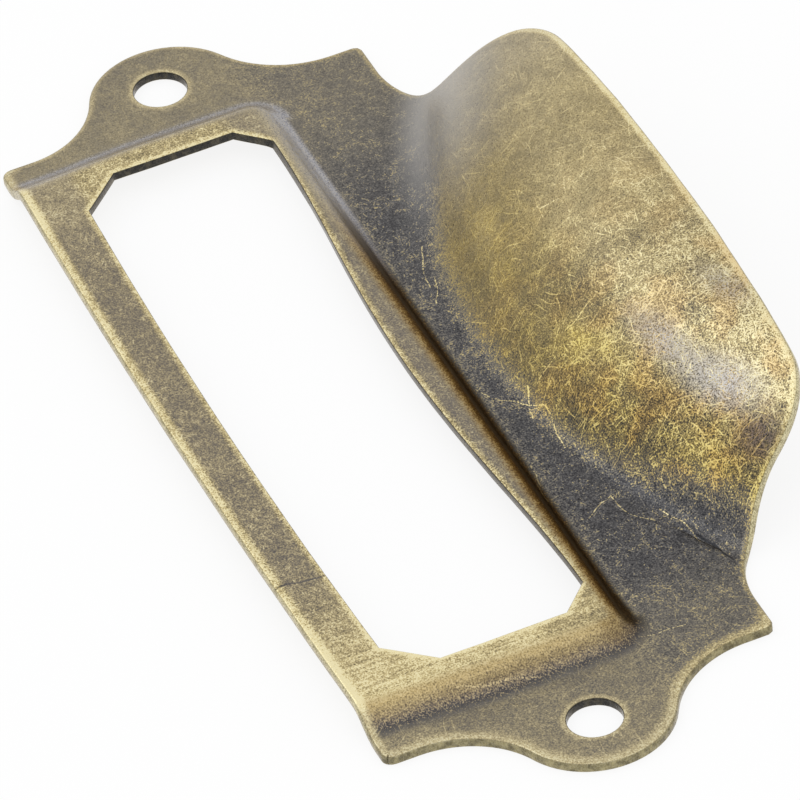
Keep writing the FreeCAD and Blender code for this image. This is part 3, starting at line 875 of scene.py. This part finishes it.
    # Painted highlight on the lip's shoulder, and the dark place at its near end
    for share, code, spot, length, width, degrees in HIGHLIGHT_AND_DARK_PATCHES:
        cover = patch(spot, length, width, degrees) * (share + (grain - 0.5) * 2.0)
        tone = cover.blend(tone, colour(code))
    # Painted sheen over a greyer patina at the far end of the lip and its root
    far_grey_and_sheen = x.ramp(9.0, 25.0) * root.ramp(-1.5, 2.0) * (1.0 - 0.7 * root.ramp(3.0, 8.0))
    tone = (far_grey_and_sheen * 0.8).blend(tone, colour("afadaa"))

    # Step: painted amber reflection of the lip and painted shade at the foot on the lip side, painted cool
    # grey highlight at the far end, painted shade at the dark foot and on the brown slope at the near end
    across = (inside + (mottle - 0.5) * 0.9 + (grain - 0.5) * 0.8).ramp(-0.35, 2.05)
    end_across = (inside + (mottle - 0.5) * 0.7 + (grain - 0.5) * 1.2).ramp(-1.0, 2.05)
    step_side = y.ramp(-2.6, -3.6)
    on_step = inside.ramp(-0.35, 0.1) * step_side
    on_step = on_step.larger(inside.ramp(-0.9, -0.3) * x.ramp(27.5, 28.0).larger(x.ramp(-27.5, -28.0)))
    on_step = on_step * inside.ramp(2.2, 1.3) * (1.0 - 0.8 * open_edge)
    amber_reflection_tone = start.add("ShaderNodeValToRGB", {"stops": shades(AMBER_REFLECTION_STEP)}, {0: across})
    end_shade_tone = start.add("ShaderNodeValToRGB", {"stops": shades(END_STEP_SHADE)}, {0: end_across})
    far_highlight_tone = start.add("ShaderNodeValToRGB", {"stops": shades(FAR_STEP_HIGHLIGHT)}, {0: end_across})
    # Where the painted amber reflection of the lip lies on the lip side of the step
    amber_reflection = step_side * x.ramp(20.0, 8.0) * x.ramp(-31.0, -27.0)
    step_tone = (step_side * x.ramp(-31.0, -27.0)).blend(end_shade_tone, amber_reflection_tone)
    step_tone = x.ramp(8.0, 20.0).blend(step_tone, far_highlight_tone)
    tone = on_step.blend(tone, step_tone)
    specks = (grain - 0.55).larger(0.0) * 1.5 + long_hair * 0.25 + bright * 0.5
    tone = (on_step * (1.0 - 0.6 * amber_reflection) * specks).blend(tone, colour("cdb98a"))
    tone = (on_step * (0.45 - grain).larger(0.0) * 1.5).blend(tone, colour("2a2622"))

    # Cut walls: worn brass round the outline with painted shade where its face round turns down into the
    # wall; painted shade, nearly black, on the walls of the window and the screw holes
    cut = abs(skin).ramp(0.15, 0.6, 1.0, 0.0)
    outer_tone = (mottle + grain - 0.5).ramp(0.2, 0.8).blend(colour("948b68"), colour("dcd2a8"))
    outer_tone = (x.ramp(-29.0, -31.0) * 0.8).blend(outer_tone, mottle.ramp(0.3, 0.7).blend(
        colour("4f4730"), colour("9a8f66")))
    # Painted shade where the face round turns down into the outer wall
    outer_tone = skin.ramp(0.15, 0.45).blend(outer_tone, colour("463d28"))
    # Painted shade on the walls of the window and the screw holes
    inner_shade_tone = mottle.ramp(0.4, 0.7).blend(colour("1d1b17"), colour("4a4434"))
    tone = cut.blend(tone, opening.blend(outer_tone, inner_shade_tone))

    roughness = 0.36 - rub * 0.08 + (grain - 0.5) * 0.2
    height = fine_hair * 0.3 + grain * 0.8 - pits * 1.0 + mottle * 0.8
    bump = start.add("ShaderNodeBump", {}, {"Strength": 0.4, "Distance": BUMP_DEPTH, "Height": height})
    # Less lacquer where the amber reflection of the lip is painted
    lacquer = (0.7 + (grain - 0.5) * 1.2) * (1.0 - 0.5 * valley) * (1.0 - on_step * amber_reflection)
    shader = start.add("ShaderNodeBsdfPrincipled", {}, {
        "Base Color": tone, "Metallic": 1.0, "Roughness": roughness, "Normal": bump,
        "Specular Tint": GLANCING_TINT, "Coat Weight": lacquer, "Coat Roughness": LACQUER_ROUGHNESS,
        "Coat IOR": LACQUER_IOR})
    start.add("ShaderNodeOutputMaterial", {}, {0: shader})
    return material


def shown(name, mesh):
    """Links a mesh into the scene as an object at the origin."""
    piece = bpy.data.objects.new(name, mesh)
    bpy.context.scene.collection.objects.link(piece)
    return piece


# Share of plain white light in the floor, colour of the soft boxes
FLOOR_GLOW = 0.85
DAYLIGHT = (0.92, 0.96, 1.0)


def floor_material():
    """Pale floor, mostly white light to the camera and to the metal, that still takes a soft shadow."""
    material = bpy.data.materials.new("white_floor")
    material.use_nodes = True
    tree = material.node_tree
    tree.nodes.clear()
    start = Wire(tree)
    diffuse = start.add("ShaderNodeBsdfDiffuse", {}, {"Color": (0.9, 0.9, 0.9, 1.0)})
    paper = start.add("ShaderNodeEmission", {}, {"Color": (1.0, 1.0, 1.0, 1.0), "Strength": 1.0})
    seen = start.add("ShaderNodeLightPath", {}, {}, "Is Camera Ray")
    seen = seen.larger(start.add("ShaderNodeLightPath", {}, {}, "Is Glossy Ray"))
    mixed = start.add("ShaderNodeMixShader", {}, {0: seen * FLOOR_GLOW, 1: diffuse, 2: paper})
    start.add("ShaderNodeOutputMaterial", {}, {0: mixed})
    return material


def white_room():
    """Even white light from all around, which is also the white background."""
    world = bpy.data.worlds.new("white_room")
    bpy.context.scene.world = world
    world.use_nodes = True
    tree = world.node_tree
    tree.nodes.clear()
    start = Wire(tree)
    light = start.add("ShaderNodeBackground", {}, {"Color": (1.0, 1.0, 1.0, 1.0), "Strength": 1.0})
    start.add("ShaderNodeOutputWorld", {}, {0: light})


def soft_box(name, azimuth, elevation, distance, size, energy):
    """Square soft light that faces the object from a bearing, measured from +X towards +Y, and a height."""
    lamp = bpy.data.lights.new(name, "AREA")
    lamp.shape = "SQUARE"
    lamp.size = size
    lamp.energy = energy
    lamp.color = DAYLIGHT
    holder = bpy.data.objects.new(name, lamp)
    bpy.context.scene.collection.objects.link(holder)
    turn = math.radians(azimuth)
    lift = math.radians(elevation)
    spot = np.array([math.cos(turn) * math.cos(lift), math.sin(turn) * math.cos(lift), math.sin(lift)])
    right = np.cross((0.0, 0.0, 1.0), spot)
    right = right / np.linalg.norm(right)
    up = np.cross(spot, right)
    aim = Matrix(np.stack([right, up, spot], axis=1).tolist()).to_4x4()
    aim.translation = (spot * distance).tolist()
    holder.matrix_world = aim


# Camera fitted to the photograph: turn vector in radians, offset in millimetres, focal length in pixels
CAMERA_TURN = (1.298284105, -2.067771556, 0.881788703)
CAMERA_OFFSET = (-1.802140946, 0.032551976, 766.443344693)
FOCAL_PIXELS = 12211.590904
PICTURE_PIXELS = 800.0
SENSOR_MM = 36.0


def turn_matrix(vector):
    """Rotation matrix for a turn about the vector's direction by its length in radians."""
    angle = float(np.linalg.norm(vector))
    axis = np.asarray(vector) / angle
    cross = np.array([[0.0, -axis[2], axis[1]], [axis[2], 0.0, -axis[0]], [-axis[1], axis[0], 0.0]])
    return np.eye(3) + math.sin(angle) * cross + (1.0 - math.cos(angle)) * cross @ cross


def camera():
    """Camera at the fitted place, looking the way the photograph was taken."""
    view = bpy.data.cameras.new("camera")
    view.sensor_width = SENSOR_MM
    view.lens = FOCAL_PIXELS * SENSOR_MM / PICTURE_PIXELS
    view.clip_start = 0.01
    view.clip_end = 20.0
    holder = bpy.data.objects.new("camera", view)
    bpy.context.scene.collection.objects.link(holder)
    rows = turn_matrix(CAMERA_TURN)
    centre = -rows.T @ np.array(CAMERA_OFFSET) * MM
    pose = Matrix(np.stack([rows[0], -rows[1], -rows[2]], axis=1).tolist()).to_4x4()
    pose.translation = centre.tolist()
    holder.matrix_world = pose
    bpy.context.scene.camera = holder


def floor():
    """Wide square just under the flat back."""
    half = 4.0
    level = -0.00002
    mesh = bpy.data.meshes.new("floor")
    corners = [(-half, -half, level), (half, -half, level), (half, half, level), (-half, half, level)]
    mesh.from_pydata(corners, [], [(0, 1, 2, 3)])
    sheet = shown("floor", mesh)
    mesh.materials.append(floor_material())
    return sheet


pull = shown("label_frame_pull_sheet", formed_sheet())
pull.data.materials.append(antique_brass())
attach(pull, "root")
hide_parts("label_frame_pull")

floor()
white_room()
soft_box("key", azimuth=40.0, elevation=52.0, distance=0.7, size=0.32, energy=0.25)
soft_box("fill", azimuth=190.0, elevation=60.0, distance=0.9, size=0.6, energy=0.4)
camera()
bpy.context.scene.view_settings.view_transform = "Standard"
